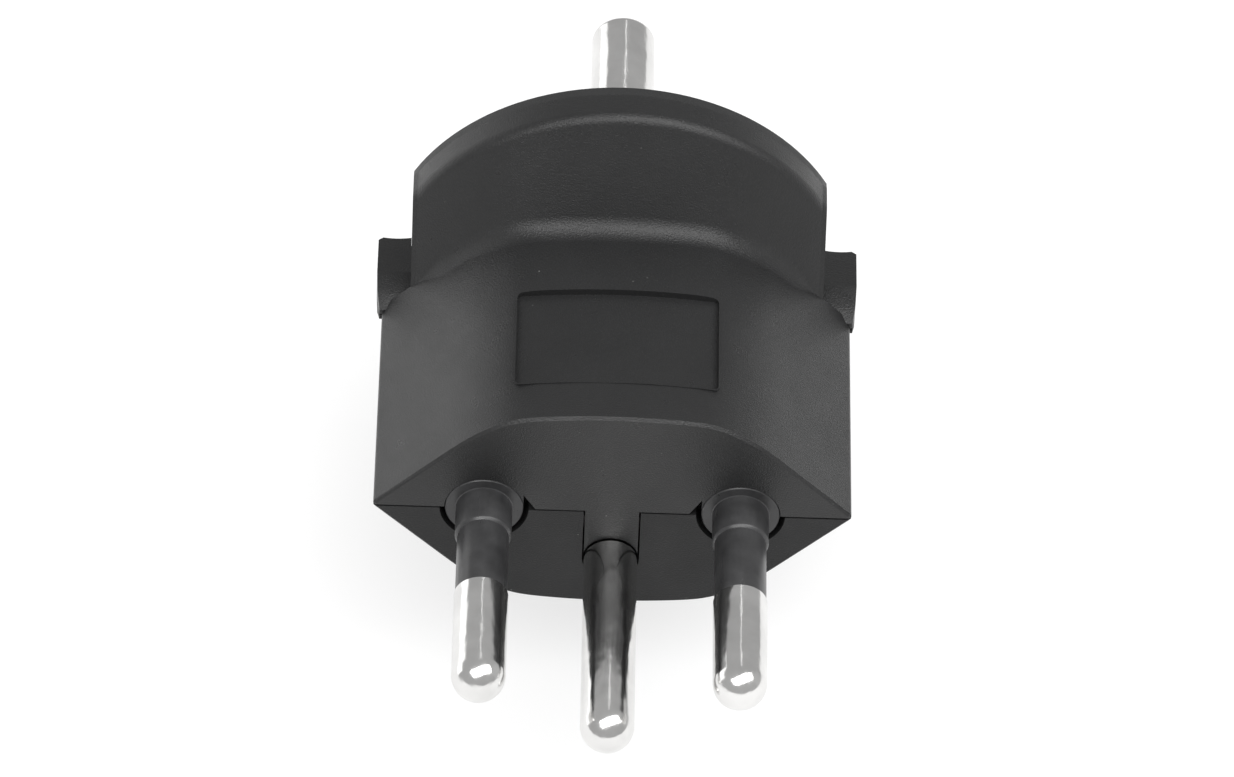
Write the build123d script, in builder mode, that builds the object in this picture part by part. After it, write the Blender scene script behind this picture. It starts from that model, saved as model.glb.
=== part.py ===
from build123d import *
from math import asin, sin, sqrt
import os

# Plug adapter: three round plug pins below, a flat round socket face above.
# X runs through the line and neutral pins, Y runs from the plug pins to the socket face,
# and Z points to the side with the label recess. The origin is the middle of the plug face,
# on the line through the line and neutral pins. Heights are measured along Y. Millimetres.

# Plug side
pin_pitch = 19.0
plug_earth_offset = 5.0
plug_pin_radius = 2.0
plug_pin_length = 19.0
sleeve_length = 9.0
neck_length = 2.9
neck_radius = 2.16
sleeve_radius = 1.845
core_radius = 1.45
pin_groove = 0.25
groove_rise = 0.1
ring_radius = 2.9

# Socket side
socket_radius = 17.85
socket_hole_radius = 2.7
socket_earth_radius = 2.4
socket_earth_offset = 10.0
socket_earth_length = 14.0
earth_tip_bevel = 0.3

# Plate over the socket
plate_rim = 0.9
plate_spigot = 1.6
spigot_wall = 1.9
plate_clearance = 0.1
plate_setback = 0.05
hole_countersink = 0.4

# Side flats of the collar
flat_cut = 2.25
flat_edge = 0.35

# Housing outline at the plug face
corner_reach = 8.43
body_half_depth = 9.75
face_arc_radius = 55.0
shoulder_radius = 5.5
corner_radius = 0.5
shoulder_blend = 0.118
face_edge = 0.22

# Housing from the body to the collar
crease_height = 19.8
crease_radius = 1.4
body_overlap = 1.0
collar_rise = 3.9
flange_round = 1.0
flange_band = 2.4
round_steps = 3
outline_steps = 8
foot_inset = 0.03
flat_foot_depth = 0.65
tuck_run = 2.6

# Ears beside the flats
ear_reach = 0.27
ear_waist_reach = 0.19
ear_half_depth = 1.5
ear_foot_rise = 0.3
ear_waist_rise = 1.7
ear_full_rise = 3.4
ear_foot_half_depth = 0.5
ear_waist_half_depth = 1.2
ear_inside = 0.4
ear_chamfer = 0.35
ear_hollow = 0.15

# Label recess
label_width = 14.6
label_bottom = 3.9
label_top = 13.4
label_depth = 0.35
label_corner = 0.9

# Housing inside
wall = 2.0
floor = 3.0
ring_clearance = 0.05
ring_relief = 0.4
tongue_clearance = 0.12
tongue_setback = 0.1
parting_gap = 0.14
ring_notch = 0.9
ring_notch_depth = 1.44

# Current-carrying parts
pin_head_radius = 3.6
pin_head_thickness = 1.6
shank_radius = 1.3
contact_radius = 3.0
contact_bore_radius = 2.35
contact_base = 8.0
contact_gap = 0.8
contact_slot = 0.6
spring_thickness = 0.35
spring_length = 5.0
spring_drop = 4.5
spring_slit = 1.2

# Earth parts
earth_head_radius = 2.5
earth_head_thickness = 1.4
strap_thickness = 0.8
strap_half_width = 1.8
strap_low_pad_radius = 2.4
strap_high_pad_radius = 3.0
strap_bend = 1.0
strap_rise_z = -1.4
socket_flange_radius = 3.7
socket_flange_thickness = 1.0
pocket_clearance = 0.2

# Housing screws
screw_x = 4.0
screw_height = 13.5
screw_radius = 1.0
screw_head_radius = 1.9
screw_head_height = 1.4
screw_head_sink = 0.25
screw_tip_z = 6.2
screw_clearance = 0.12
boss_radius = 1.95
screw_head_bevel = 0.3
cross_width = 0.55
cross_length = 2.1
cross_depth = 0.8

# Places that follow from the pieces
half_pitch = pin_pitch / 2
flat_x = socket_radius - flat_cut
corner_x = half_pitch + corner_reach
ear_x = corner_x + ear_reach
flange_height = crease_height + collar_rise
socket_height = flange_height + flange_band + plate_rim
body_top = crease_height + body_overlap
foot_depth = body_half_depth - foot_inset
arc_centre = face_arc_radius - body_half_depth
shoulder_x = (corner_x + arc_centre - sqrt(2 * face_arc_radius ** 2 - (corner_x + arc_centre) ** 2)) / 2
plate_rim_bottom = socket_height - plate_rim
plate_bottom = plate_rim_bottom - plate_spigot
spigot_radius = flat_x - spigot_wall
contact_bottom = floor + pin_head_thickness
contact_top = plate_bottom - contact_gap
strap_low = floor + earth_head_thickness
strap_high = plate_bottom - socket_flange_thickness
earth_z = -plug_earth_offset
screw_head_z = -body_half_depth + screw_head_sink
tall = 2 * socket_height


def level(height):
    # Plane across the adapter at a height; its own y is Z. A negative extrude goes towards the socket.
    return Plane.XZ.offset(-height)


def axis_plane(x, z):
    # Plane for a profile revolved about a line along Y; its own x is the radius, its own y the height.
    return Plane(origin=(x, 0, z), x_dir=(1, 0, 0), z_dir=(0, 0, 1))


def body_outline(inset):
    # The plug face's outline: two flanks at 45 degrees on each side and a wide arc front and back.
    half_depth = body_half_depth - inset
    corner = corner_x - inset * sqrt(2)
    arc_radius = face_arc_radius - inset
    arc_centre = arc_radius - half_depth
    meeting_x = (corner + arc_centre - sqrt(2 * arc_radius ** 2 - (corner + arc_centre) ** 2)) / 2
    meeting_z = corner - meeting_x
    with BuildSketch(Plane.XZ) as outline:
        with BuildLine():
            ThreePointArc((-meeting_x, meeting_z), (0, half_depth), (meeting_x, meeting_z))
            Line((meeting_x, meeting_z), (corner, 0))
            Line((corner, 0), (meeting_x, -meeting_z))
            ThreePointArc((meeting_x, -meeting_z), (0, -half_depth), (-meeting_x, -meeting_z))
            Line((-meeting_x, -meeting_z), (-corner, 0))
            Line((-corner, 0), (-meeting_x, meeting_z))
        make_face()
        shoulders = outline.vertices().filter_by(lambda v: abs(v.Y) > half_depth / 2)
        fillet(shoulders, radius=max(shoulder_radius - inset, corner_radius))
        corners = outline.vertices().filter_by(lambda v: abs(v.X) > corner - 0.01)
        fillet(corners, radius=corner_radius)
    return outline.sketch


def slope_foot(x):
    # Depth where the collar's slope leaves the body: just under the wide face, deeper behind the flanks.
    face = sqrt(face_arc_radius ** 2 - x ** 2) - face_arc_radius + foot_depth
    flank = corner_x - foot_inset - abs(x)
    shoulder = sqrt((face - flank) ** 2 + (shoulder_blend * shoulder_radius) ** 2)
    behind = min(max((abs(x) - shoulder_x) / tuck_run, 0), 1)
    tuck = corner_x - foot_inset - flat_x + flat_edge - flat_foot_depth
    return (face + flank - shoulder) / 2 - tuck * behind ** 2 * (3 - 2 * behind)


def collar_section(spread):
    # Outline between the foot of the collar's slope (0) and the flange's circle (1), cut by the flats.
    half_width = flat_x - flat_edge
    front = []
    for i in range(-outline_steps, outline_steps + 1):
        x = socket_radius * sin(asin(half_width / socket_radius) * i / outline_steps)
        foot = slope_foot(x)
        front.append((x, foot + spread * (sqrt(socket_radius ** 2 - x ** 2) - foot)))
    back = [(-x, -z) for x, z in front]
    flat_z = front[-1][1] - flat_edge
    with BuildSketch(Plane.XZ) as outline:
        with BuildLine():
            Spline(*front)
            Polyline(front[-1], (flat_x, flat_z), (flat_x, -flat_z), back[0])
            Spline(*back)
            Polyline(back[-1], (-flat_x, -flat_z), (-flat_x, flat_z), front[0])
        make_face()
    return outline.sketch


def plate_outline(radius):
    # A circle cut by the side flats.
    with BuildSketch(Plane.XZ) as outline:
        Circle(radius)
        Rectangle(2 * flat_x, 3 * radius, mode=Mode.INTERSECT)
    return outline.sketch


def turned_piece(points, x, z):
    # Solid of revolution about a line along Y; the points are (radius, height) pairs.
    with BuildPart() as turned:
        with BuildSketch(axis_plane(x, z)):
            with BuildLine():
                Polyline(*points, close=True)
            make_face()
        revolve(axis=Axis((x, 0, z), (0, 1, 0)))
    return turned.part


def round_tip(radius, length):
    # Pin from just below the plug face down to a half-round tip, as a profile to revolve.
    with BuildSketch(Plane.XY) as profile:
        with BuildLine():
            Line((0, -radius), (radius, -radius))
            Line((radius, -radius), (radius, radius - length))
            RadiusArc((radius, radius - length), (0, -length), radius)
            Line((0, -length), (0, -radius))
        make_face()
    return profile.sketch


# Label recess, which follows the wide face at an even depth
with BuildPart() as label_recess:
    with BuildSketch(level(label_bottom)):
        Rectangle(label_width, 4 * body_half_depth)
        add(body_outline(label_depth), mode=Mode.SUBTRACT)
    extrude(amount=label_bottom - label_top)
    with BuildSketch(Plane.XY):
        with Locations((0, (label_bottom + label_top) / 2)):
            RectangleRounded(label_width, label_top - label_bottom, label_corner)
    extrude(amount=2 * body_half_depth, mode=Mode.INTERSECT)

# Body, from the plug face to just over the foot of the collar's slope
with BuildPart() as body:
    with BuildSketch(level(0)):
        add(body_outline(0))
    extrude(amount=-body_top)
    chamfer(body.faces().sort_by(Axis.Y)[0].edges(), length=face_edge)

# Side ear, the right one; the left one is its mirror
with BuildPart() as ear:
    for rise, reach, half_depth in (
            (ear_foot_rise, 0, ear_foot_half_depth),
            (ear_waist_rise, ear_waist_reach, ear_waist_half_depth),
            (ear_full_rise, ear_reach, ear_half_depth)):
        with BuildSketch(level(crease_height + rise)):
            with Locations(((flat_x - ear_inside + corner_x + reach) / 2, 0)):
                Rectangle(corner_x + reach - flat_x + ear_inside, 2 * half_depth)
    loft(ruled=True)
    with BuildSketch(level(crease_height + ear_full_rise)):
        with Locations(((flat_x - ear_inside + ear_x) / 2, 0)):
            Rectangle(ear_x - flat_x + ear_inside, 2 * ear_half_depth)
    extrude(amount=crease_height + ear_full_rise - socket_height)
    # Shallow hollow down the front and the back
    hollow_half_width = (ear_x - flat_x) / 2
    hollow_radius = (hollow_half_width ** 2 + ear_hollow ** 2) / (2 * ear_hollow)
    hollow_z = ear_half_depth - ear_hollow + hollow_radius
    with BuildSketch(level(crease_height + ear_full_rise)):
        with Locations((flat_x + hollow_half_width, hollow_z), (flat_x + hollow_half_width, -hollow_z)):
            Circle(hollow_radius)
    extrude(amount=-socket_height, mode=Mode.SUBTRACT)
    outer_top = ear.edges().group_by(Axis.Y)[-1].sort_by(Axis.X)[-1]
    chamfer(outer_top, length=ear_chamfer)

# Side view of the collar at its middle: up the face, out along the slope and up the flange
with BuildLine() as crease:
    FilletPolyline(
        (foot_depth, 0), (foot_depth, crease_height), (socket_radius, flange_height),
        radius=crease_radius)
with BuildLine() as brim:
    FilletPolyline(
        (foot_depth, crease_height), (socket_radius, flange_height), (socket_radius, socket_height),
        radius=flange_round)
side_view = []
for corner in (crease, brim):
    arc = corner.edges().filter_by(GeomType.CIRCLE)[0]
    side_view += [arc @ (i / round_steps) for i in range(round_steps + 1)]
side_view.sort(key=lambda point: point.Y)

# Outer form of the housing, before it is parted into two shells
with BuildPart() as housing_form:
    for point in side_view:
        with BuildSketch(level(point.Y)):
            add(collar_section((point.X - foot_depth) / (socket_radius - foot_depth)))
    loft(ruled=True)
    with BuildSketch(level(side_view[-1].Y)):
        add(collar_section(1))
    extrude(amount=side_view[-1].Y - plate_rim_bottom)
    add(body.part)
    add(label_recess.part, mode=Mode.SUBTRACT)
    add(ear.part)
    add(mirror(ear.part, about=Plane.YZ))

# Room inside the housing for the contacts, the earth strap and the plate
with BuildPart() as inside:
    with BuildSketch(level(floor)):
        add(body_outline(wall))
    extrude(amount=floor - plate_bottom)
    with BuildSketch(level(plate_bottom)):
        Circle(spigot_radius + plate_clearance)
    extrude(amount=-plate_spigot)
    with BuildSketch(level(plate_rim_bottom)):
        Rectangle(2 * flat_x + 2 * plate_clearance, 3 * socket_radius)
    extrude(amount=-tall)
    # Socket earth pin's flange and the strap's way to it
    with BuildSketch(level(strap_high - strap_thickness - pocket_clearance)):
        with Locations((0, socket_earth_offset)):
            Circle(socket_flange_radius + pocket_clearance)
        with Locations((0, socket_earth_offset / 2)):
            Rectangle(2 * strap_half_width + 2 * pocket_clearance, socket_earth_offset)
    extrude(amount=-(plate_bottom - strap_high + strap_thickness + pocket_clearance))

# Label-side shell
with BuildPart() as label_shell:
    add(housing_form.part)
    split(bisect_by=Plane.XY, keep=Keep.TOP)
    add(inside.part, mode=Mode.SUBTRACT)
    # Half holes for the rings of the insulated pins, cut back towards the middle
    with BuildSketch(level(0)):
        with Locations((-half_pitch, 0), (half_pitch, 0)):
            Circle(ring_radius + ring_clearance)
        for side in (1, -1):
            notch_x = side * (half_pitch - ring_radius)
            notch_end = notch_x - side * ring_notch
            with BuildLine():
                Polyline((notch_x, 0), (notch_end, 0), (notch_x, ring_notch_depth), close=True)
            make_face()
    extrude(amount=-floor, mode=Mode.SUBTRACT)
    # Screw bosses
    with BuildSketch(Plane.XY):
        with Locations((-screw_x, screw_height), (screw_x, screw_height)):
            Circle(boss_radius)
    extrude(amount=body_half_depth - wall + label_depth)
    with BuildSketch(Plane.XY):
        with Locations((-screw_x, screw_height), (screw_x, screw_height)):
            Circle(screw_radius)
    extrude(amount=screw_tip_z + screw_clearance, mode=Mode.SUBTRACT)
    # Tongue that closes the other shell's slot in front of the plug earth pin
    with BuildSketch(level(tongue_setback)):
        with Locations((0, earth_z / 2)):
            Rectangle(2 * plug_pin_radius, plug_earth_offset)
        with Locations((0, earth_z)):
            Circle(plug_pin_radius + ring_clearance, mode=Mode.SUBTRACT)
    extrude(amount=tongue_setback - floor)
label_shell.part.label = "label_shell"

# Back shell
with BuildPart() as back_shell:
    add(housing_form.part)
    split(bisect_by=Plane.XY.offset(-parting_gap), keep=Keep.BOTTOM)
    add(inside.part, mode=Mode.SUBTRACT)
    with BuildSketch(level(0)):
        with Locations((-half_pitch, 0), (half_pitch, 0)):
            Circle(ring_radius + ring_relief)
        # Slot that the plug earth pin is laid into
        with Locations((0, earth_z / 2)):
            Rectangle(2 * plug_pin_radius + 2 * tongue_clearance, plug_earth_offset)
        with Locations((0, earth_z)):
            Circle(plug_pin_radius + tongue_clearance)
    extrude(amount=-floor, mode=Mode.SUBTRACT)
    # Screw bosses that meet the other shell's, clearance holes and sunk seats for the heads
    with BuildSketch(Plane.XY):
        with Locations((-screw_x, screw_height), (screw_x, screw_height)):
            Circle(boss_radius)
    extrude(amount=wall - body_half_depth)
    with BuildSketch(Plane.XY):
        with Locations((-screw_x, screw_height), (screw_x, screw_height)):
            Circle(screw_radius + screw_clearance)
    extrude(amount=-2 * body_half_depth, mode=Mode.SUBTRACT)
    with BuildSketch(Plane.XY.offset(screw_head_z + screw_head_height)):
        with Locations((-screw_x, screw_height), (screw_x, screw_height)):
            Circle(screw_head_radius + screw_clearance)
    extrude(amount=-2 * body_half_depth, mode=Mode.SUBTRACT)
back_shell.part.label = "back_shell"

# Socket plate: rim over the shells' tops and a spigot between them
with BuildPart() as socket_plate:
    with BuildSketch(level(plate_bottom)):
        Circle(spigot_radius)
    extrude(amount=-plate_spigot)
    with BuildSketch(level(plate_rim_bottom)):
        add(plate_outline(socket_radius - plate_setback))
    extrude(amount=-plate_rim)
    with BuildSketch(level(plate_bottom)):
        with Locations((-half_pitch, 0), (half_pitch, 0)):
            Circle(socket_hole_radius)
        with Locations((0, socket_earth_offset)):
            Circle(socket_earth_radius + ring_clearance)
    extrude(amount=plate_bottom - socket_height, mode=Mode.SUBTRACT)
    mouths = socket_plate.faces().sort_by(Axis.Y)[-1].inner_wires().edges()
    plug_mouths = mouths.filter_by(lambda e: abs(e.radius - socket_hole_radius) < 0.01)
    chamfer(plug_mouths, length=hole_countersink)
socket_plate.part.label = "socket_plate"

# Self-tapping screws that hold the shells together, put in from the back
with BuildPart() as housing_screws:
    with BuildSketch(Plane.XY.offset(screw_head_z)):
        with Locations((-screw_x, screw_height), (screw_x, screw_height)):
            Circle(screw_head_radius)
    extrude(amount=screw_head_height)
    chamfer(housing_screws.edges().group_by(Axis.Z)[0], length=screw_head_bevel)
    with BuildSketch(Plane.XY.offset(screw_head_z)):
        with Locations((-screw_x, screw_height), (screw_x, screw_height)):
            Circle(screw_radius)
    extrude(amount=screw_tip_z - screw_head_z)
    with BuildSketch(Plane.XY.offset(screw_head_z)):
        with Locations((-screw_x, screw_height), (screw_x, screw_height)):
            Rectangle(cross_length, cross_width)
            Rectangle(cross_width, cross_length)
    extrude(amount=cross_depth, mode=Mode.SUBTRACT)
housing_screws.part.label = "housing_screws"

pieces = [label_shell.part, back_shell.part, socket_plate.part, housing_screws.part]

# Line and neutral: insulated plug pin, its sleeve, the contact above it and the contact's spring
for name, x in (("line", -half_pitch), ("neutral", half_pitch)):
    with BuildPart() as plug_pin:
        with BuildSketch(axis_plane(x, 0)):
            add(round_tip(plug_pin_radius, plug_pin_length))
        revolve(axis=Axis((x, 0, 0), (0, 1, 0)))
        sleeve_room = turned_piece([
            (core_radius, -sleeve_length), (tall, -sleeve_length), (tall, tall), (core_radius, tall)], x, 0)
        add(sleeve_room, mode=Mode.SUBTRACT)
        add(turned_piece([
            (0, -sleeve_length), (core_radius, -sleeve_length), (core_radius, floor),
            (pin_head_radius, floor), (pin_head_radius, contact_bottom), (shank_radius, contact_bottom),
            (shank_radius, contact_base), (0, contact_base)], x, 0))
    plug_pin.part.label = name + "_pin"

    with BuildPart() as sleeve:
        add(turned_piece([
            (core_radius, -sleeve_length), (sleeve_radius, -sleeve_length), (sleeve_radius, -neck_length),
            (neck_radius, neck_radius - sleeve_radius - neck_length), (neck_radius, 0), (ring_radius, 0),
            (ring_radius, floor), (core_radius, floor)], x, 0))
    sleeve.part.label = name + "_pin_sleeve"

    with BuildPart() as contact:
        add(turned_piece([
            (shank_radius, contact_bottom), (contact_radius, contact_bottom),
            (contact_radius, contact_top), (contact_bore_radius, contact_top),
            (contact_bore_radius, contact_base), (shank_radius, contact_base)], x, 0))
        with BuildSketch(level(contact_top)):
            with Locations((x, 0)):
                Rectangle(3 * contact_radius, contact_slot)
                Rectangle(contact_slot, 3 * contact_radius)
        extrude(amount=contact_top - contact_base - 2 * contact_radius, mode=Mode.SUBTRACT)
    contact.part.label = name + "_contact"

    with BuildPart() as spring:
        with BuildSketch(level(contact_top - spring_drop - spring_length)):
            with Locations((x, 0)):
                Circle(contact_radius + spring_thickness)
                Circle(contact_radius, mode=Mode.SUBTRACT)
            with Locations((x, -contact_radius)):
                Rectangle(spring_slit, contact_radius, mode=Mode.SUBTRACT)
        extrude(amount=-spring_length)
    spring.part.label = name + "_contact_spring"
    pieces += [plug_pin.part, sleeve.part, contact.part, spring.part]

# Plug earth pin, bare along its whole length
with BuildPart() as plug_earth_pin:
    with BuildSketch(axis_plane(0, earth_z)):
        add(round_tip(plug_pin_radius, plug_pin_length))
    revolve(axis=Axis((0, 0, earth_z), (0, 1, 0)))
    add(turned_piece([
        (0, -plug_pin_radius), (plug_pin_radius, -plug_pin_radius), (plug_pin_radius, -groove_rise),
        (plug_pin_radius - pin_groove, -groove_rise), (plug_pin_radius - pin_groove, floor),
        (earth_head_radius, floor), (earth_head_radius, strap_low), (shank_radius, strap_low),
        (shank_radius, strap_low + strap_thickness), (0, strap_low + strap_thickness)], 0, earth_z))
plug_earth_pin.part.label = "plug_earth_pin"

# Socket earth pin, standing up through the plate
earth_tip = socket_height + socket_earth_length
with BuildPart() as socket_earth_pin:
    add(turned_piece([
        (0, strap_high - strap_thickness), (shank_radius, strap_high - strap_thickness),
        (shank_radius, strap_high), (socket_flange_radius, strap_high),
        (socket_flange_radius, plate_bottom),
        (socket_earth_radius - pin_groove, plate_bottom),
        (socket_earth_radius - pin_groove, socket_height + groove_rise),
        (socket_earth_radius, socket_height + groove_rise),
        (socket_earth_radius, earth_tip - 2 * earth_tip_bevel),
        (socket_earth_radius - earth_tip_bevel / 2, earth_tip - earth_tip_bevel / 2),
        (socket_earth_radius - 2 * earth_tip_bevel, earth_tip), (0, earth_tip)], 0, socket_earth_offset))
socket_earth_pin.part.label = "socket_earth_pin"

# Strap that joins the two earth pins
strap_low_middle = strap_low + strap_thickness / 2
strap_high_middle = strap_high - strap_thickness / 2
with BuildPart() as earth_strap:
    with BuildSketch(Plane.YZ.offset(-strap_half_width)):
        with BuildLine():
            FilletPolyline(
                (strap_low_middle, earth_z), (strap_low_middle, strap_rise_z),
                (strap_high_middle, strap_rise_z), (strap_high_middle, socket_earth_offset),
                radius=strap_bend)
            offset(amount=strap_thickness / 2, side=Side.BOTH)
        make_face()
    extrude(amount=2 * strap_half_width)
    # Round pads on the two pins
    with BuildSketch(level(strap_low)):
        with Locations((0, earth_z)):
            Circle(strap_low_pad_radius)
    extrude(amount=-strap_thickness)
    with BuildSketch(level(strap_high - strap_thickness)):
        with Locations((0, socket_earth_offset)):
            Circle(strap_high_pad_radius)
    extrude(amount=-strap_thickness)
    with BuildSketch(level(0)):
        with Locations((0, earth_z), (0, socket_earth_offset)):
            Circle(shank_radius)
    extrude(amount=-socket_height, mode=Mode.SUBTRACT)
earth_strap.part.label = "earth_strap"
pieces += [plug_earth_pin.part, socket_earth_pin.part, earth_strap.part]

os.makedirs("parts", exist_ok=True)
for piece in pieces:
    export_step(piece, "parts/" + piece.label + ".step")
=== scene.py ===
"""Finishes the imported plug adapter: plastic and metal surfaces, fine edges and a plain studio."""
import math

import bpy
from bpy.props import FloatProperty, FloatVectorProperty, PointerProperty
from mathutils import Matrix, Vector


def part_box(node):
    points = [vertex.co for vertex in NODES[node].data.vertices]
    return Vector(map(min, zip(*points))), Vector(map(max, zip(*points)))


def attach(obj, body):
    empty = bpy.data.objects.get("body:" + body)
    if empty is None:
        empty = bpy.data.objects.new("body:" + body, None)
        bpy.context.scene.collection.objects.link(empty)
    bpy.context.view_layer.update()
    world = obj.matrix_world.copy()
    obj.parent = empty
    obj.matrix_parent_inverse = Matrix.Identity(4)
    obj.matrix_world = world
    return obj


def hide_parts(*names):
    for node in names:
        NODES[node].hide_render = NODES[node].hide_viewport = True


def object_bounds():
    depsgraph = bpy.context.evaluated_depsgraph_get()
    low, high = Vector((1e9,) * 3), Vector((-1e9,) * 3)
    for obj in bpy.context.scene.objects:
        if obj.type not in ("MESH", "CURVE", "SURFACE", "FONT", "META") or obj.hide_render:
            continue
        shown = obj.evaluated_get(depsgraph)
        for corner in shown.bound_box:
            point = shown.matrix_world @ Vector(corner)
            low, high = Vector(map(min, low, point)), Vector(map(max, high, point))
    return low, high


bl_info = {
    "name": "Plug adapter",
    "version": (1, 0, 0),
    "blender": (4, 5, 0),
    "location": "View3D > Sidebar > Plug adapter",
    "description": "Finishes the packed plug adapter and sets it in a plain studio",
    "category": "Object",
}

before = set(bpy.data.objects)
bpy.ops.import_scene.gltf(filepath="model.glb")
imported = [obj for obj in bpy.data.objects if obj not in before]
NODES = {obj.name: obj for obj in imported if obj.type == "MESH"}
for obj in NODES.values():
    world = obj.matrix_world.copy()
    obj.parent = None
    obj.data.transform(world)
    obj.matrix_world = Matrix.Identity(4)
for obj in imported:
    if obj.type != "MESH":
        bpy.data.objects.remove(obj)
CAD_BOX = [list(corner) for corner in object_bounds()]

MM = 0.001
JOIN_DISTANCE = 0.002 * MM
WELD_DISTANCE = 0.012 * MM
FLAT_ANGLE = math.radians(0.6)
EDGE_ANGLE = math.radians(32)
ROUND_SIDES = 96
SHELL_EDGE = 0.07 * MM
PLATE_EDGE = 0.1 * MM

# The housing's wide faces, in millimetres: their arc, the bend into the flanks, and the cut
FACE_DEPTH = 9.75
FACE_RADIUS = 55.0
CORNER_X = 17.93
SHOULDER_BEND = 1.3
SHOULDER_MIDDLE = 9.0
SHOULDER_HALF_WIDTH = 4.6
FACE_EDGE = 0.22
FACE_CUT = 13.6
FACE_LIFT = 0.01
FACE_LIFT_START = 9.4
STRIP_WIDTH = 0.2
CUT_START = 0.02
CUT_REACH = 4.0

# The collar's slope from the crease to the flange, in millimetres
CREASE = 19.8
CREASE_RADIUS = 1.9
CREASE_LEAST_RADIUS = 0.1
CREASE_END = 13.0
CREASE_OVERLAP = 0.3
FLANGE = 23.7
FLANGE_RADIUS = 17.85
FLANGE_ROUNDING = 1.05
BAND_TOP = 26.02
SLOPE_BEND = 1.6
SLOPE_TUCK = 2.0
TUCK_START = 8.0
TUCK_RUN = 5.5
SLOPE_HALF_WIDTH = 15.25
SLOPE_STATION_END = 15.1
ROUNDING_SIDE = 9.0
ROUNDING_STEPS = 10

# The new slope's skin, in millimetres: how far it sinks into the body and stands over the band,
# and its root inside the shell
SKIN_SINK = 0.014
SKIN_STAND = 0.012
SKIN_BAND_ROOT = 1.0
SKIN_BAND_START = 0.5
SKIN_BODY_ROOT = 0.9

# The cut that takes the old slope away, in millimetres
SLOPE_CUT_STEPS = 80
SLOPE_CUT_GAP = 0.05
SLOPE_CUT_DEPTH = 0.3
SLOPE_CUT_REACH = 3.0
SLOPE_CUT_ABOVE = 0.6
SLOPE_CUT_BELOW = 0.5

# The label recess and its raised edge, in millimetres
RECESS_HALF_WIDTH = 7.5
RECESS_LOW = 3.77
RECESS_HIGH = 13.54
RECESS_DEPTH = 0.55
RECESS_CORNER = 0.4
RECESS_LEAST_SIDE = 0.02
RECESS_CORNER_STATIONS = (0.0, 0.04, 0.16, 0.24, 0.4)
RECESS_STATION_END = 6.3
RECESS_STRIPS = 6
RECESS_CLEARANCE = 3.0
LIP_WIDTH = 0.08
LIP_ROOT = 0.1
LIP_HEIGHT = 0.045
LIP_WAVES = ((0.015, 2.3, 0.0), (0.01, 5.1, 1.0))
LIP_CUT_DEPTH = 0.3
LIP_SHORTER = 0.5
LIP_CUT_LONGER = 1.0

# Line and neutral pins with their sleeves
ROUND_PINS = (("line", -1), ("neutral", 1))
SLEEVE_INNER_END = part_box("line_pin_sleeve")[1].y
SLEEVE_OUTER_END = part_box("line_pin_sleeve")[0].y
PIN_RADIUS = 2.0 * MM
PIN_EDGE = 0.06 * MM
PIN_TIP_START = -89.0
PIN_TIP_STEPS = 20
CORE_RADIUS = 1.45 * MM
SHANK_RADIUS = 1.3 * MM
HEAD_THICKNESS = 1.6 * MM
SLEEVE_LAP = 0.04 * MM
SLEEVE_END_RADIUS = 1.87 * MM
SLEEVE_RADIUS = 1.92 * MM
SLEEVE_EDGE = 0.1 * MM

# Neck and ring of a sleeve: (radius, height) pairs in millimetres
SLEEVE_NECK = ((1.92, -3.08), (2.08, -2.92), (2.1, -2.86), (2.1, -0.06), (2.16, -0.02),
               (2.82, -0.02), (2.9, 0.06))
SLEEVE_RING_RADIUS = 2.9 * MM

# Earth pins of the plug and of the socket
EARTH_STEP = -0.1 * MM
EARTH_NECK_RADIUS = 1.75 * MM
EARTH_HEAD_RADIUS = 2.5 * MM
EARTH_HEAD_THICKNESS = 1.4 * MM
SOCKET_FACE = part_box("socket_plate")[1].y
STUD_RADIUS = 2.4 * MM
STUD_NECK_RADIUS = 2.15 * MM
STUD_ROUNDING = 0.65 * MM
STUD_ROUNDING_STEPS = 10
STUD_STEP = 0.1 * MM
STUD_FLANGE_LOW = 0.8 * MM
STUD_FLANGE_HIGH = 1.8 * MM

# Marks in the surfaces: their widths and depths
NOISE_SPAN = (0.3, 0.7)
WIDE_SPAN = (0.25, 0.75)
MARK_SPAN = (0.3, 0.8)
FULL_SPAN = (0.0, 1.0)
GLOSS_SPREAD = 0.05
PATCH_WIDTH, PATCH_DEPTH = 9 * MM, 0.02 * MM
FLOW_WIDTH = 2.5 * MM
FLOW_SHIFT = (0.01, 0.02, 0.0)
DUST_SPACING = 1.6 * MM
DUST_EDGE = (0.02, 0.05)
DUSTY_PATCHES = (0.5, 0.62)
DUST_COLOUR = (0.16, 0.16, 0.155, 1.0)
RUB_WIDTH, RUB_DEPTH = 0.5 * MM, 0.004 * MM
RUB_STRETCH = (1.0, 0.08, 1.0)
RUB_ROUGHNESS = (0.26, 0.44)
SLEEVE_CLOUD_WIDTH = 2 * MM
MARK_WIDTH, MARK_DEPTH = 0.35 * MM, 0.005 * MM
MARK_STRETCH = (1.0, 0.05, 1.0)
TARNISH_WIDTH = 3 * MM
DENT_WIDTH, DENT_DEPTH = 1.6 * MM, 0.09 * MM
DENT_STRETCH = (1.0, 0.45, 1.0)
SPECKLE_WIDTH = 0.4 * MM

# Each shell's node and side, and its surface's name, roughness and refractive index
SHELLS = (
    ("label_shell", 1, "moulded_housing", 0.31, 1.43),
    ("back_shell", -1, "moulded_back", 0.42, 1.34),
)
PLATE_ROUGHNESS, PLATE_IOR = 0.48, 1.5
CONTACT_NODES = ("line_contact", "neutral_contact", "earth_strap")
SPRING_NODES = ("line_contact_spring", "neutral_contact_spring")
STEEL_COLOUR = (0.42, 0.42, 0.43)
ZINC_COLOUR = (0.5, 0.5, 0.5)
PIN_ROUGHNESS = 0.16
BRASS_ROUGHNESS = 0.26
STEEL_ROUGHNESS = 0.3

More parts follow.
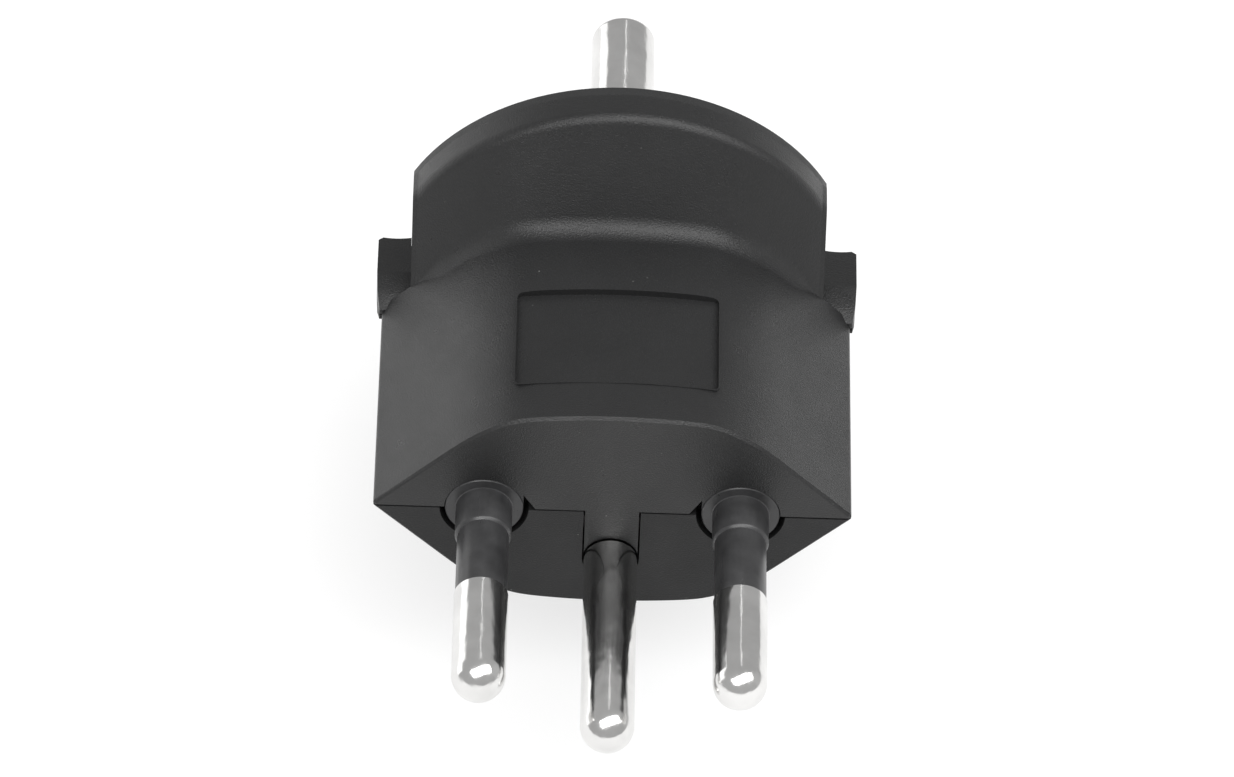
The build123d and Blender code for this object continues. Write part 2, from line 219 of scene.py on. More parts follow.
# The studio, in metres
FLOOR_SIZE = 6.0
FLOOR_ROUGHNESS = 0.9
LAMP_TARGET = (0.0, 0.01, 0.0)
SENSOR_WIDTH = 36.0
CLIP_START = 0.01
CLIP_END = 20.0

# Each lamp's name, place and size, and the setting that holds its power
LAMPS = (
    ("overhead_lamp", (0.12, -0.24, 0.58), (1.2, 0.4), "overhead_power"),
    ("back_strip", (0.06, 0.5, 0.48), (0.015, 0.3), "strip_power"),
    ("left_lamp", (-0.6, 0.3, 0.12), (0.7, 0.3), "left_power"),
    ("right_lamp", (0.62, 0.1, 0.16), (0.5, 0.3), "right_power"),
)


class AdapterFinish(bpy.types.PropertyGroup):
    """Colours and grain of the adapter's surfaces."""

    housing_colour: FloatVectorProperty(
        name="Housing", description="Moulded plastic of the two shells", subtype="COLOR",
        size=3, min=0.0, max=1.0, default=(0.016, 0.0161, 0.0164))
    plate_colour: FloatVectorProperty(
        name="Socket plate", description="Moulded plastic of the plate over the socket",
        subtype="COLOR", size=3, min=0.0, max=1.0, default=(0.017, 0.0172, 0.0176))
    sleeve_colour: FloatVectorProperty(
        name="Pin sleeves", description="Smooth plastic around the line and neutral pins",
        subtype="COLOR", size=3, min=0.0, max=1.0, default=(0.03, 0.03, 0.031))
    pin_colour: FloatVectorProperty(
        name="Pins", description="Nickel plating of the pins", subtype="COLOR",
        size=3, min=0.0, max=1.0, default=(0.77, 0.765, 0.755))
    contact_colour: FloatVectorProperty(
        name="Contacts", description="Brass of the contacts and the earth strap", subtype="COLOR",
        size=3, min=0.0, max=1.0, default=(0.78, 0.60, 0.32))
    grain_size: FloatProperty(
        name="Grain size", description="Width of one grain of the moulded surface", unit="LENGTH",
        min=0.00005, max=0.001, default=0.00013)
    grain_depth: FloatProperty(
        name="Grain depth", description="Depth of the moulded surface's grain", unit="LENGTH",
        min=0.0, max=0.0001, default=0.00005)


class AdapterStudio(bpy.types.PropertyGroup):
    """Camera, lamps and backdrop."""

    camera_place: FloatVectorProperty(
        name="Camera", description="Where the camera stands", subtype="XYZ", unit="LENGTH",
        size=3, default=(-0.007327, -0.431973, 0.443908))
    look: FloatVectorProperty(
        name="Look", description="Direction that the camera looks in", subtype="DIRECTION",
        size=3, default=(0.01194, 0.70783, -0.70628))
    picture_up: FloatVectorProperty(
        name="Picture up", description="Direction that is up in the picture", subtype="DIRECTION",
        size=3, default=(-0.03048, 0.70626, 0.70730))
    focal_length: FloatProperty(
        name="Focal length", description="Focal length in millimetres",
        min=20.0, max=400.0, default=244.1)
    floor_colour: FloatVectorProperty(
        name="Floor", description="Pale floor", subtype="COLOR", size=3, min=0.0, max=1.0,
        default=(0.3, 0.3, 0.3))
    floor_lift: FloatProperty(
        name="Floor whiteness", description="How far the floor is lifted to white where it is seen",
        min=0.0, max=1.0, default=0.72)
    world_strength: FloatProperty(
        name="World", description="Even light from all round", min=0.0, max=2.0, default=0.46)
    overhead_power: FloatProperty(
        name="Overhead lamp", description="Power of the large lamp above the adapter",
        unit="POWER", min=0.0, max=50.0, default=6.8)
    strip_power: FloatProperty(
        name="Back strip", description="Power of the narrow lamp that draws a line along the pins",
        unit="POWER", min=0.0, max=50.0, default=0.03)
    left_power: FloatProperty(
        name="Left lamp", description="Power of the lamp on the left", unit="POWER",
        min=0.0, max=50.0, default=0.75)
    right_power: FloatProperty(
        name="Right lamp", description="Power of the lamp on the right", unit="POWER",
        min=0.0, max=50.0, default=0.03)


class Shader:
    """A material's node tree, filled from the texture coordinates to the surface."""

    def __init__(self, name):
        self.material = bpy.data.materials.new(name)
        self.material.use_nodes = True
        self.tree = self.material.node_tree
        self.tree.nodes.clear()
        self.output = self.node("ShaderNodeOutputMaterial")
        self.surface = self.node("ShaderNodeBsdfPrincipled")
        self.link(self.surface, "BSDF", self.output, "Surface")
        self.place = self.node("ShaderNodeTexCoord")

    def node(self, kind, **values):
        """A new node with the given properties."""
        made = self.tree.nodes.new(kind)
        for key, value in values.items():
            setattr(made, key, value)
        return made

    def link(self, source, out, target, into):
        """Leads one node's output into another's input."""
        self.tree.links.new(source.outputs[out], target.inputs[into])

    def set(self, **values):
        """Sets inputs of the surface; an underscore stands for a space in their names."""
        for key, value in values.items():
            self.surface.inputs[key.replace("_", " ")].default_value = value

    def cover(self, colour, gloss, relief):
        """Leads colour, roughness and relief into the surface."""
        self.link(colour, "Result", self.surface, "Base Color")
        self.link(gloss, "Result", self.surface, "Roughness")
        self.link(relief, "Normal", self.surface, "Normal")

    def noise(self, width, detail=2.0, roughness=0.5, stretch=(1.0, 1.0, 1.0),
              shift=(0.0, 0.0, 0.0)):
        """Noise on object coordinates whose blobs are about the given width."""
        mapping = self.node("ShaderNodeMapping")
        mapping.inputs["Location"].default_value = shift
        mapping.inputs["Scale"].default_value = stretch
        self.link(self.place, "Object", mapping, "Vector")
        made = self.node("ShaderNodeTexNoise")
        made.inputs["Scale"].default_value = 1.0 / width
        made.inputs["Detail"].default_value = detail
        made.inputs["Roughness"].default_value = roughness
        self.link(mapping, "Vector", made, "Vector")
        return made

    def range(self, source, out, span, to_span):
        """A value carried from one span to another, with its ends held."""
        made = self.node("ShaderNodeMapRange")
        made.inputs["From Min"].default_value, made.inputs["From Max"].default_value = span
        made.inputs["To Min"].default_value, made.inputs["To Max"].default_value = to_span
        self.link(source, out, made, "Value")
        return made

    def math(self, kind, first, second):
        """A calculation with two values, each of them a number or a node."""
        made = self.node("ShaderNodeMath", operation=kind)
        for index, source in enumerate((first, second)):
            if isinstance(source, (int, float)):
                made.inputs[index].default_value = source
            else:
                self.link(source, 0, made, index)
        return made

    def cloudy(self, source, colour, darker, lighter):
        """A colour that goes from a darker to a lighter shade of itself with a noise."""
        share = self.range(source, "Fac", NOISE_SPAN, FULL_SPAN)
        made = self.node("ShaderNodeMix", data_type="RGBA")
        made.inputs["A"].default_value = (*(darker * part for part in colour), 1.0)
        made.inputs["B"].default_value = (*(lighter * part for part in colour), 1.0)
        self.link(share, "Result", made, "Factor")
        return made

    def bump(self, source, depth, before=None):
        """Relief of the given depth from a noise, on top of the relief before it."""
        made = self.node("ShaderNodeBump")
        made.inputs["Strength"].default_value = 1.0
        made.inputs["Distance"].default_value = depth
        self.link(source, "Fac", made, "Height")
        if before is not None:
            self.link(before, "Normal", made, "Normal")
        return made

    def seen(self):
        """1 for what the camera sees, straight on, in a mirror or through glass, and else 0."""
        path = self.node("ShaderNodeLightPath")
        direct = self.node("ShaderNodeMath", operation="MAXIMUM")
        self.link(path, "Is Camera Ray", direct, 0)
        self.link(path, "Is Glossy Ray", direct, 1)
        made = self.node("ShaderNodeMath", operation="MAXIMUM")
        self.link(direct, "Value", made, 0)
        self.link(path, "Is Transmission Ray", made, 1)
        return made


def moulded_plastic(name, colour, finish, roughness, ior):
    """Black moulded plastic: fine grain, patches of more and less gloss, and specks of dust."""
    shader = Shader(name)
    grain = shader.noise(finish.grain_size, detail=3.0, roughness=0.6)
    patches = shader.noise(PATCH_WIDTH, detail=4.0, roughness=0.55)
    flow = shader.noise(FLOW_WIDTH, detail=3.0, shift=FLOW_SHIFT)
    dust_cells = shader.node("ShaderNodeTexVoronoi")
    dust_cells.inputs["Scale"].default_value = 1.0 / DUST_SPACING
    shader.link(shader.place, "Object", dust_cells, "Vector")
    dust = shader.range(dust_cells, "Distance", DUST_EDGE, (1.0, 0.0))
    dusty = shader.range(patches, "Fac", DUSTY_PATCHES, FULL_SPAN)
    specks = shader.math("MULTIPLY", dust, dusty)

    base = shader.cloudy(patches, colour, 0.88, 1.15)
    dusted = shader.node("ShaderNodeMix", data_type="RGBA")
    dusted.inputs["B"].default_value = DUST_COLOUR
    shader.link(base, "Result", dusted, "A")
    shader.link(specks, "Value", dusted, "Factor")

    gloss = shader.range(
        flow, "Fac", WIDE_SPAN, (roughness - GLOSS_SPREAD, roughness + GLOSS_SPREAD))
    soft = shader.bump(patches, PATCH_DEPTH)
    fine = shader.bump(grain, finish.grain_depth, before=soft)
    shader.cover(dusted, gloss, fine)
    shader.set(IOR=ior)
    return shader.material


def sleeve_plastic(name, colour):
    """Smooth dark plastic, rubbed along the pin by use."""
    shader = Shader(name)
    rub = shader.noise(RUB_WIDTH, detail=3.0, stretch=RUB_STRETCH)
    cloud = shader.noise(SLEEVE_CLOUD_WIDTH, detail=3.0)
    base = shader.cloudy(cloud, colour, 0.8, 1.5)
    gloss = shader.range(rub, "Fac", NOISE_SPAN, RUB_ROUGHNESS)
    shader.cover(base, gloss, shader.bump(rub, RUB_DEPTH))
    shader.set(IOR=1.5)
    return shader.material


def plated_metal(name, colour, roughness):
    """Bright plating with faint marks along the pin and a little tarnish."""
    shader = Shader(name)
    marks = shader.noise(MARK_WIDTH, detail=4.0, roughness=0.6, stretch=MARK_STRETCH)
    tarnish = shader.noise(TARNISH_WIDTH, detail=3.0)
    base = shader.cloudy(tarnish, colour, 0.88, 1.04)
    gloss = shader.range(marks, "Fac", MARK_SPAN, (roughness * 0.7, roughness * 1.5))
    dents = shader.noise(DENT_WIDTH, stretch=DENT_STRETCH)
    uneven = shader.bump(dents, DENT_DEPTH)
    shader.cover(base, gloss, shader.bump(marks, MARK_DEPTH, before=uneven))
    shader.set(Metallic=1.0)
    return shader.material


def dress(piece, *materials):
    """Gives a piece its materials: the body's first, then that of its fine edges."""
    piece.data.materials.clear()
    for material in materials:
        piece.data.materials.append(material)


def alone(piece):
    """Selects one object alone and makes it the active one."""
    bpy.ops.object.select_all(action="DESELECT")
    piece.select_set(True)
    bpy.context.view_layer.objects.active = piece


def joined_copy(node, name):
    """A copy of a node's mesh with its loose triangles joined into whole faces."""
    mesh = NODES[node].data.copy()
    mesh.name = name
    piece = bpy.data.objects.new(name, mesh)
    bpy.context.scene.collection.objects.link(piece)
    alone(piece)
    bpy.ops.mesh.customdata_custom_splitnormals_clear()
    bpy.ops.object.mode_set(mode="EDIT")
    bpy.ops.mesh.select_all(action="SELECT")
    bpy.ops.mesh.remove_doubles(threshold=JOIN_DISTANCE)
    bpy.ops.mesh.dissolve_limited(angle_limit=FLAT_ANGLE)
    bpy.ops.object.mode_set(mode="OBJECT")
    return piece


def fine_edges(piece, width):
    """Rounds the sharp edges a little, puts the new faces in slot 1 and shades the piece."""
    bevel = piece.modifiers.new("fine_edges", "BEVEL")
    bevel.width = width
    bevel.segments = 2
    bevel.limit_method = "ANGLE"
    bevel.angle_limit = EDGE_ANGLE
    bevel.material = 1
    alone(piece)
    bpy.ops.object.modifier_apply(modifier=bevel.name)
    smooth(piece)


def smooth(piece):
    """Shades a piece smoothly except over its sharp edges, and keeps its flat faces flat."""
    alone(piece)
    if piece.data.has_custom_normals:
        bpy.ops.mesh.customdata_custom_splitnormals_clear()
    bpy.ops.object.shade_smooth_by_angle(angle=EDGE_ANGLE, keep_sharp_edges=False)
    level = piece.modifiers.new("flat_faces", "WEIGHTED_NORMAL")
    level.keep_sharp = True
    bpy.ops.object.modifier_apply(modifier=level.name)


def lofted(name, sections):
    """A closed solid through equal rings of points, the first and last of which are its ends."""
    count = len(sections[0])
    points = [Vector(point) * MM for section in sections for point in section]
    faces = [tuple(range(count)), tuple(range(len(points) - count, len(points)))]
    for start in range(0, len(points) - count, count):
        for i in range(count):
            after = (i + 1) % count
            faces.append((start + i, start + after, start + count + after, start + count + i))
    mesh = bpy.data.meshes.new(name)
    mesh.from_pydata(points, [], faces)
    solid = bpy.data.objects.new(name, mesh)
    bpy.context.scene.collection.objects.link(solid)
    alone(solid)
    bpy.ops.object.mode_set(mode="EDIT")
    bpy.ops.mesh.select_all(action="SELECT")
    bpy.ops.mesh.normals_make_consistent(inside=False)
    bpy.ops.object.mode_set(mode="OBJECT")
    return solid


def combine(piece, solid, operation, careful=False):
    """Adds a solid to a piece or takes it away, and removes the solid."""
    change = piece.modifiers.new("combine", "BOOLEAN")
    change.operation = operation
    change.solver = "EXACT"
    change.use_self = careful
    change.object = solid
    alone(piece)
    faces = len(piece.data.polygons)
    bpy.ops.object.modifier_apply(modifier=change.name)
    if len(piece.data.polygons) < faces / 2:
        raise RuntimeError(piece.name + " lost its shape: " + operation + " " + solid.name)
    mesh = solid.data
    bpy.data.objects.remove(solid)
    bpy.data.meshes.remove(mesh)


def weld(piece):
    """Joins points that lie closer together than a step that could be seen."""
    alone(piece)
    bpy.ops.object.mode_set(mode="EDIT")
    bpy.ops.mesh.select_all(action="SELECT")
    bpy.ops.mesh.remove_doubles(threshold=WELD_DISTANCE)
    bpy.ops.mesh.dissolve_degenerate(threshold=JOIN_DISTANCE)
    bpy.ops.object.mode_set(mode="OBJECT")


def stations(half_width, count):
    """Evenly spaced places from one side to the other, with count strips between them."""
    return [half_width * (2 * i / count - 1) for i in range(count + 1)]


def part_way(value, start, run):
    """How far a value has come along a run, from 0 to 1."""
    return min(max((value - start) / run, 0.0), 1.0)


def eased(share):
    """A share from 0 to 1 that starts and ends gently."""
    return share ** 2 * (3 - 2 * share)


def wide_face(x):
    """Depth of the wide face at x."""
    return math.sqrt(FACE_RADIUS ** 2 - x ** 2) - FACE_RADIUS + FACE_DEPTH


def face_and_flank(x, bend):
    """Depth of the housing below the collar: the wide face, bent over into the flank."""
    face = wide_face(x)
    flank = CORNER_X - abs(x)
    off = min(abs(abs(x) - SHOULDER_MIDDLE) / SHOULDER_HALF_WIDTH, 1.0)
    rounding = bend * math.cos(math.pi / 2 * off) ** 2
    return (face + flank - math.hypot(face - flank, rounding)) / 2


def face_lift(x):
    """Height of the new face over the old one: a hair below it, and over it at the cut's ends."""
    return FACE_LIFT * (2 * part_way(abs(x), FACE_LIFT_START, FACE_CUT - FACE_LIFT_START) - 1)


def slope_profile(x):
    """(Depth, height) of the collar's slope at x, where it meets the body and the flange."""
    body = face_and_flank(x, SHOULDER_BEND)
    tuck = SLOPE_TUCK * eased(part_way(abs(x), TUCK_START, TUCK_RUN))
    foot = face_and_flank(x, SLOPE_BEND) - tuck
    brim = math.sqrt(FLANGE_RADIUS ** 2 - x ** 2)
    crease = CREASE + (FLANGE - CREASE) * (body - foot) / (brim - foot)
    return (body, crease), (brim, FLANGE)


def rounded(before, corner, after, radius):
    """Points of the arc that rounds a corner of a profile."""
    before, corner, after = Vector(before), Vector(corner), Vector(after)
    back = (before - corner).normalized()
    on = (after - corner).normalized()
    half = back.angle(on) / 2
    centre = corner + (back + on).normalized() * radius / math.sin(half)
    first = corner + back * radius / math.tan(half) - centre
    last = corner + on * radius / math.tan(half) - centre
    turn = first.angle_signed(last)
    return [centre + Matrix.Rotation(-turn * i / ROUNDING_STEPS, 2) @ first
            for i in range(ROUNDING_STEPS + 1)]


def shoulder_cutter(side):
    """Cuts the wide face afresh, with rounder shoulders to the flanks and the plug face's edge."""
    sections = []
    for x in stations(FACE_CUT, round(2 * FACE_CUT / STRIP_WIDTH)):
        depth = face_and_flank(x, SHOULDER_BEND) + face_lift(x)
        crease = slope_profile(x)[0][1] + CREASE_OVERLAP
        ring = [(depth - FACE_EDGE - CUT_START, -CUT_START), (depth, FACE_EDGE), (depth, crease),
                (depth + CUT_REACH, crease), (depth + CUT_REACH, -CUT_START)]
        sections.append([(x, height, side * z) for z, height in ring])
    return lofted("shoulder_cutter", sections)


def slope_cutter(side):
    """Takes the outside of the old slope away, so that the new one can take its place."""
    sections = []
    for x in stations(SLOPE_HALF_WIDTH - SLOPE_CUT_GAP, SLOPE_CUT_STEPS):
        (body, crease), (brim, flange) = slope_profile(x)
        run = Vector((brim - body, flange - crease)).normalized()
        inward = Vector((-run.y, run.x)) * SLOPE_CUT_DEPTH
        low = Vector((body, crease)) + inward + run * SLOPE_CUT_DEPTH
        high = Vector((brim, flange)) + inward - run * SLOPE_CUT_DEPTH
        below = crease - SLOPE_CUT_BELOW
        ring = [low, high, (brim + SLOPE_CUT_REACH, flange + SLOPE_CUT_ABOVE),
                (brim + SLOPE_CUT_REACH, below), (body + SLOPE_CUT_REACH, below)]
        sections.append([(x, height, side * depth) for depth, height in ring])
    return lofted("slope_cutter", sections)


def collar_slope(side):
    """The collar's slope with its rounded crease and brim, as a solid skin on one shell."""
    sections = []
    inner = stations(SLOPE_STATION_END, round(2 * SLOPE_STATION_END / STRIP_WIDTH))
    for x in [-SLOPE_HALF_WIDTH] + inner + [SLOPE_HALF_WIDTH]:
        (body, crease), (brim, flange) = slope_profile(x)
        body -= SKIN_SINK
        brim += SKIN_STAND
        ending = part_way(abs(x), CREASE_END, SLOPE_HALF_WIDTH - CREASE_END)
        radius = CREASE_RADIUS * (1 - eased(ending)) + CREASE_LEAST_RADIUS
        foot, top = (body, crease - ROUNDING_SIDE), (brim, flange + ROUNDING_SIDE)
        ring = rounded(foot, (body, crease), (brim, flange), radius)
        ring += rounded((body, crease), (brim, flange), top, FLANGE_ROUNDING)
        ring += [(brim, BAND_TOP), (brim - SKIN_BAND_ROOT, BAND_TOP),
                 (brim - SKIN_BAND_ROOT, flange + SKIN_BAND_START),
                 (body - SKIN_BODY_ROOT, crease + CREASE_OVERLAP),
                 (body - SKIN_BODY_ROOT, ring[0].y)]
        sections.append([(x, height, side * depth) for depth, height in ring])
    return lofted("collar_slope", sections)


def recess_block(spread, bottom, top, high=RECESS_HIGH):
    """The label recess's outline, spread a little, as a block from one depth below the wide face
    to a height over it, which is a number or a function of the station's index."""
    half_width = RECESS_HALF_WIDTH + spread
    low, corner = RECESS_LOW - spread, RECESS_CORNER + spread
    ends = [half_width - station for station in RECESS_CORNER_STATIONS]
    middle = stations(RECESS_STATION_END, RECESS_STRIPS)
    sections = []
    for i, x in enumerate([-end for end in ends] + middle + ends[::-1]):
        inset = max(abs(x) - (half_width - corner), 0.0)
        drop = corner - math.sqrt(max(corner ** 2 - inset ** 2, 0.0)) if inset else 0.0
        drop = min(drop, corner - RECESS_LEAST_SIDE)
        face = wide_face(x)
        lift = top(i) if callable(top) else top
        sections.append([(x, low + drop, face - bottom), (x, high - drop, face - bottom),
                         (x, high - drop, face + lift), (x, low + drop, face + lift)])
    return lofted("recess_block", sections)


def lip_height(i):
    """Height of the recess's raised edge, a little uneven along its length."""
    height = LIP_HEIGHT
    for size, pace, start in LIP_WAVES:
        height += size * math.sin(pace * i + start)
    return height


def add_lip(shell, surface):
    """Sets the thin raised edge round the sides and the foot of the label recess."""
    lip = recess_block(LIP_WIDTH, LIP_ROOT, lip_height, RECESS_HIGH - LIP_SHORTER)
    inside = recess_block(0.0, LIP_CUT_DEPTH, RECESS_CLEARANCE, RECESS_HIGH + LIP_CUT_LONGER)
    combine(lip, inside, "DIFFERENCE")
    dress(lip, surface, surface)
    alone(lip)
    shell.select_set(True)
    bpy.context.view_layer.objects.active = shell
    bpy.ops.object.join()


def place(piece, slot, *nodes):
    """Sets a finished piece on the part's body in place of its nodes."""
    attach(piece, "root")
    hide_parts(*nodes)


def arc(centre, radius, start, end, steps):
    """Points of a profile along an arc, with angles in degrees from the outward direction."""
    angles = [math.radians(start + (end - start) * i / steps) for i in range(steps + 1)]
    return [(centre[0] + radius * math.cos(a), centre[1] + radius * math.sin(a)) for a in angles]


def turned(name, profile, x, z, hollow=False):
    """A round piece about a line along Y, drawn ring by ring from (radius, height) pairs."""
    radius, height = profile[0]
    bpy.ops.object.select_all(action="DESELECT")
    bpy.ops.mesh.primitive_circle_add(
        vertices=ROUND_SIDES, radius=radius, fill_type="NOTHING" if hollow else "NGON",
        location=(x, height, z), rotation=(math.pi / 2, 0.0, 0.0))
    piece = bpy.context.object
    piece.name = name
    piece.data.name = name
    bpy.ops.object.transform_apply(location=True, rotation=True, scale=True)
    bpy.ops.object.mode_set(mode="EDIT")
    bpy.ops.mesh.select_all(action="SELECT")
    for next_radius, next_height in profile[1:]:
        step = {"value": (0.0, next_height - height, 0.0)}
        if hollow:
            bpy.ops.mesh.extrude_edges_move(TRANSFORM_OT_translate=step)
        else:
            bpy.ops.mesh.extrude_region_move(TRANSFORM_OT_translate=step)
        spread = next_radius / radius
        bpy.ops.transform.resize(
            value=(spread, 1.0, spread), center_override=(x, next_height, z))
        radius, height = next_radius, next_height
    bpy.ops.mesh.select_all(action="SELECT")
    bpy.ops.mesh.remove_doubles(threshold=JOIN_DISTANCE)
    bpy.ops.mesh.normals_make_consistent(inside=False)
    bpy.ops.object.mode_set(mode="OBJECT")
    return piece


def set_turned(piece, material, slot, node):
    """Gives a turned piece its material and shading and sets it in place of its node."""
    dress(piece, material)
    smooth(piece)
    place(piece, slot, node)


def pin_profile(tip, head_radius, shank_end):
    """Line or neutral pin: the tip, the bare metal, the core in the sleeve, head and shank."""
    lap, head = SLEEVE_OUTER_END + SLEEVE_LAP, SLEEVE_INNER_END + HEAD_THICKNESS
    return tip + [
        (PIN_RADIUS, SLEEVE_OUTER_END), (PIN_RADIUS - PIN_EDGE, lap), (CORE_RADIUS, lap),
        (CORE_RADIUS, SLEEVE_INNER_END), (head_radius, SLEEVE_INNER_END), (head_radius, head),
        (SHANK_RADIUS, head), (SHANK_RADIUS, shank_end)]


def sleeve_profile():
    """Sleeve round a pin, closed from its outer end over the ring back to its bore."""
    lap = SLEEVE_OUTER_END + SLEEVE_LAP
    neck = [(radius * MM, height * MM) for radius, height in SLEEVE_NECK]
    return [(CORE_RADIUS, lap), (SLEEVE_END_RADIUS, lap),
            (SLEEVE_RADIUS, SLEEVE_OUTER_END + SLEEVE_EDGE)] + neck + [
        (SLEEVE_RING_RADIUS, SLEEVE_INNER_END), (CORE_RADIUS, SLEEVE_INNER_END),
        (CORE_RADIUS, lap)]


def earth_pin_profile(tip, shank_end):
    """The plug's earth pin: bare metal up to the housing, then neck, head and shank."""
    head = SLEEVE_INNER_END + EARTH_HEAD_THICKNESS
    return tip + [
        (PIN_RADIUS, EARTH_STEP), (EARTH_NECK_RADIUS, EARTH_STEP),
        (EARTH_NECK_RADIUS, SLEEVE_INNER_END), (EARTH_HEAD_RADIUS, SLEEVE_INNER_END),
        (EARTH_HEAD_RADIUS, head), (SHANK_RADIUS, head), (SHANK_RADIUS, shank_end)]


def stud_profile(start, end, flange_radius):
    """The socket's earth pin: shank, flange, neck and the bare pin with its rounded end."""
    flange_low, flange_high = start + STUD_FLANGE_LOW, start + STUD_FLANGE_HIGH
    step = SOCKET_FACE + STUD_STEP
    middle = (STUD_RADIUS - STUD_ROUNDING, end - STUD_ROUNDING)
    return [
        (SHANK_RADIUS, start), (SHANK_RADIUS, flange_low), (flange_radius, flange_low),
        (flange_radius, flange_high), (STUD_NECK_RADIUS, flange_high), (STUD_NECK_RADIUS, step),
        (STUD_RADIUS, step)] + arc(middle, STUD_ROUNDING, 0.0, 90.0, STUD_ROUNDING_STEPS)


class ADAPTER_OT_housing(bpy.types.Operator):
    """Finish the two shells of the housing and the socket plate"""

    bl_idname = "adapter.housing"
    bl_label = "Housing"

    def execute(self, context):
        finish = context.scene.adapter_finish
        surfaces = [moulded_plastic(name, finish.housing_colour, finish, roughness, ior)
                    for node, side, name, roughness, ior in SHELLS]
        for (node, side, *_), surface in zip(SHELLS, surfaces):
            shell = joined_copy(node, node.replace("_shell", "_side_housing"))
            dress(shell, surface, surface)
            fine_edges(shell, SHELL_EDGE)
            combine(shell, slope_cutter(side), "DIFFERENCE")
            combine(shell, shoulder_cutter(side), "DIFFERENCE", careful=side < 0)
            combine(shell, collar_slope(side), "UNION")
            if side > 0:
                combine(shell, recess_block(0.0, RECESS_DEPTH, RECESS_CLEARANCE), "DIFFERENCE")
            weld(shell)
            smooth(shell)
            if side > 0:
                add_lip(shell, surface)
            place(shell, "housing_plastic", node)
        moulded_plate = moulded_plastic(
            "moulded_plate", finish.plate_colour, finish, PLATE_ROUGHNESS, PLATE_IOR)
        plate = joined_copy("socket_plate", "socket_cover")
        dress(plate, moulded_plate, moulded_plate)
        fine_edges(plate, PLATE_EDGE)
        place(plate, "plate_plastic", "socket_plate")
        return {"FINISHED"}


class ADAPTER_OT_pins(bpy.types.Operator):
    """Finish the pins and the sleeves around two of them"""

    bl_idname = "adapter.pins"
    bl_label = "Pins and sleeves"

    def execute(self, context):
        finish = context.scene.adapter_finish
        plating = plated_metal("nickel_plating", finish.pin_colour, PIN_ROUGHNESS)
        plastic = sleeve_plastic("sleeve_plastic", finish.sleeve_colour)
        low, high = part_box("line_pin")
        head_radius = (high.x - low.x) / 2
        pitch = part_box("neutral_pin")[1].x - high.x
        tip = arc((0.0, low.y + PIN_RADIUS), PIN_RADIUS, PIN_TIP_START, 0.0, PIN_TIP_STEPS)
        for name, side in ROUND_PINS:
            x = side * pitch / 2
            metal = turned(name + "_plug_pin", pin_profile(tip, head_radius, high.y), x, 0.0)
            set_turned(metal, plating, "pin_metal", name + "_pin")
            cover = turned(name + "_sleeve", sleeve_profile(), x, 0.0, hollow=True)
            set_turned(cover, plastic, "sleeve_plastic", name + "_pin_sleeve")
        low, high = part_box("plug_earth_pin")
        z = (low.z + high.z) / 2
        earth = turned("earth_plug_pin", earth_pin_profile(tip, high.y), 0.0, z)
        set_turned(earth, plating, "pin_metal", "plug_earth_pin")
        low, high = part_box("socket_earth_pin")
        z = (low.z + high.z) / 2
        profile = stud_profile(low.y, high.y, (high.x - low.x) / 2)
        stud = turned("earth_socket_pin", profile, 0.0, z)
        set_turned(stud, plating, "pin_metal", "socket_earth_pin")
        return {"FINISHED"}


class ADAPTER_OT_inner_parts(bpy.types.Operator):
    """Finish the contacts, the springs, the strap and the screws"""

    bl_idname = "adapter.inner_parts"
    bl_label = "Inner parts"

    def execute(self, context):
        finish = context.scene.adapter_finish
        brass = plated_metal("turned_brass", finish.contact_colour, BRASS_ROUGHNESS)
        for node in CONTACT_NODES:
            dress(NODES[node], brass)
        steel = plated_metal("spring_steel", STEEL_COLOUR, STEEL_ROUGHNESS)
        for node in SPRING_NODES:
            dress(NODES[node], steel)
        zinc = plated_metal("zinc_plating", ZINC_COLOUR, STEEL_ROUGHNESS)
        dress(NODES["housing_screws"], zinc)
        return {"FINISHED"}


def soft_lamp(name, place, size, power):
    """An oblong area lamp aimed at the adapter."""
    bpy.ops.object.light_add(type="AREA", location=place)
    lamp = bpy.context.object
    lamp.name = name
    lamp.data.shape = "RECTANGLE"
    lamp.data.size, lamp.data.size_y = size
    lamp.data.energy = power
    aim = Vector(LAMP_TARGET) - Vector(place)
    lamp.rotation_euler = aim.to_track_quat("-Z", "Y").to_euler()


def pale_floor(studio):
    """Floor material that the camera sees as white."""
    shader = Shader("pale_floor")
    speckle = shader.noise(SPECKLE_WIDTH)
    tone = shader.cloudy(speckle, studio.floor_colour, 0.985, 1.0)
    shader.link(tone, "Result", shader.surface, "Base Color")
    shader.set(Roughness=FLOOR_ROUGHNESS, Emission_Color=(1.0, 1.0, 1.0, 1.0))
    lift = shader.math("MULTIPLY", shader.seen(), studio.floor_lift)
    shader.link(lift, "Value", shader.surface, "Emission Strength")
    return shader.material


def add_camera(context, studio):
    """The camera, aimed along the look direction with the given one up."""
    look = Vector(studio.look).normalized()
    up = Vector(studio.picture_up)
    up = (up - up.dot(look) * look).normalized()
    right = look.cross(up)
    data = bpy.data.cameras.new("picture_camera")
    data.lens = studio.focal_length
    data.sensor_width = SENSOR_WIDTH
    data.sensor_fit = "HORIZONTAL"
    data.clip_start = CLIP_START
    data.clip_end = CLIP_END
    camera = bpy.data.objects.new("picture_camera", data)
    context.scene.collection.objects.link(camera)
    turn = Matrix((right, up, -look)).transposed().to_4x4()
    camera.matrix_world = Matrix.Translation(studio.camera_place) @ turn
    context.scene.camera = camera


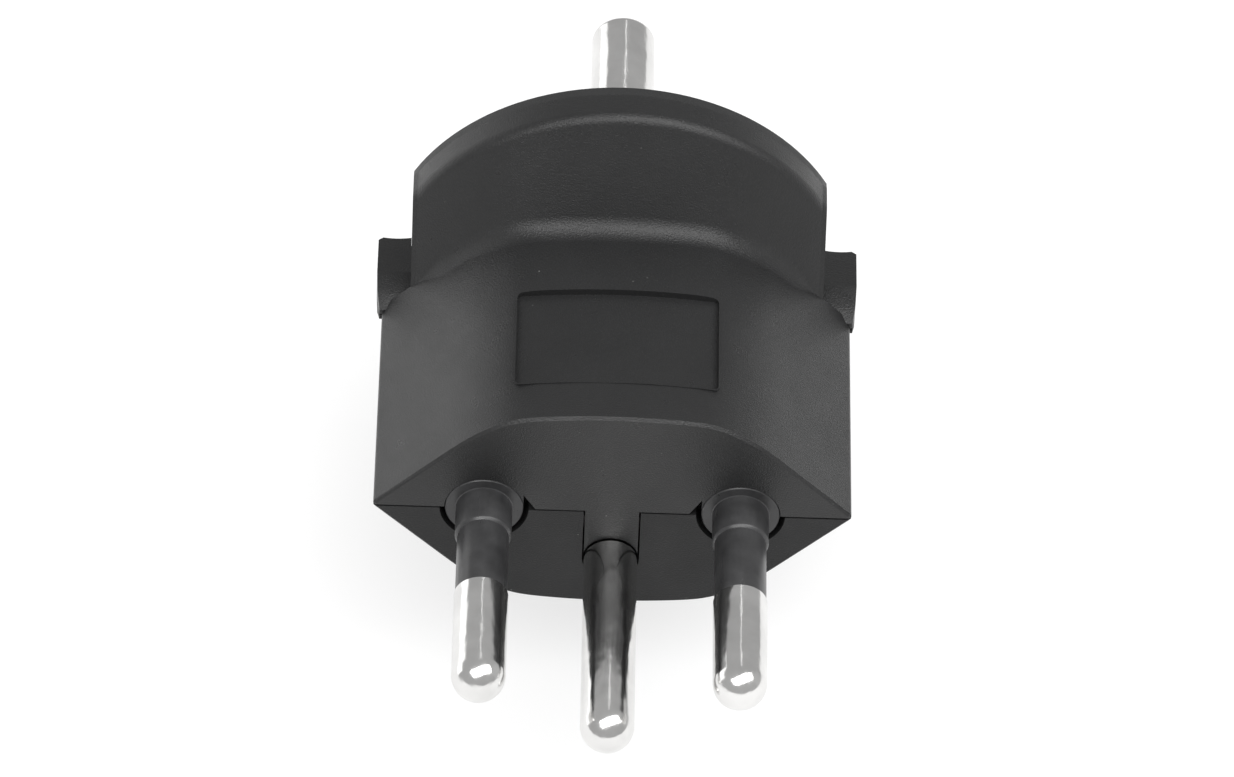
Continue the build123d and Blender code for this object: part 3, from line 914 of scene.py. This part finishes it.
class ADAPTER_OT_stage(bpy.types.Operator):
    """Set the floor, the lamps, the pale surroundings and the camera"""

    bl_idname = "adapter.stage"
    bl_label = "Stage"

    def execute(self, context):
        studio = context.scene.adapter_studio
        lowest = CAD_BOX[0][2]
        bpy.ops.mesh.primitive_grid_add(
            x_subdivisions=4, y_subdivisions=4, size=FLOOR_SIZE, location=(0, 0, lowest))
        floor = context.object
        floor.name = "floor"
        floor.data.materials.append(pale_floor(studio))

        world = bpy.data.worlds.new("studio_world")
        context.scene.world = world
        world.use_nodes = True
        surround = world.node_tree.nodes["Background"]
        surround.inputs["Color"].default_value = (1.0, 1.0, 1.0, 1.0)
        surround.inputs["Strength"].default_value = studio.world_strength

        for name, place, size, power in LAMPS:
            soft_lamp(name, place, size, getattr(studio, power))
        add_camera(context, studio)
        context.scene.view_settings.view_transform = "Standard"
        return {"FINISHED"}


class ADAPTER_PT_panel(bpy.types.Panel):
    """Lists the adapter's settings and steps"""

    bl_idname = "ADAPTER_PT_panel"
    bl_label = "Plug adapter"
    bl_space_type = "VIEW_3D"
    bl_region_type = "UI"
    bl_category = "Plug adapter"

    def draw(self, context):
        for settings in (context.scene.adapter_finish, context.scene.adapter_studio):
            box = self.layout.box()
            for name in settings.__annotations__:
                box.prop(settings, name)
        for step in STEPS:
            self.layout.operator(step.bl_idname)


STEPS = (ADAPTER_OT_housing, ADAPTER_OT_pins, ADAPTER_OT_inner_parts, ADAPTER_OT_stage)
CLASSES = (AdapterFinish, AdapterStudio) + STEPS + (ADAPTER_PT_panel,)


def register():
    for cls in CLASSES:
        bpy.utils.register_class(cls)
    bpy.types.Scene.adapter_finish = PointerProperty(type=AdapterFinish)
    bpy.types.Scene.adapter_studio = PointerProperty(type=AdapterStudio)


def unregister():
    del bpy.types.Scene.adapter_studio
    del bpy.types.Scene.adapter_finish
    for cls in reversed(CLASSES):
        bpy.utils.unregister_class(cls)


def main():
    register()
    bpy.ops.adapter.housing()
    bpy.ops.adapter.pins()
    bpy.ops.adapter.inner_parts()
    bpy.ops.adapter.stage()


if __name__ == "__main__":
    main()
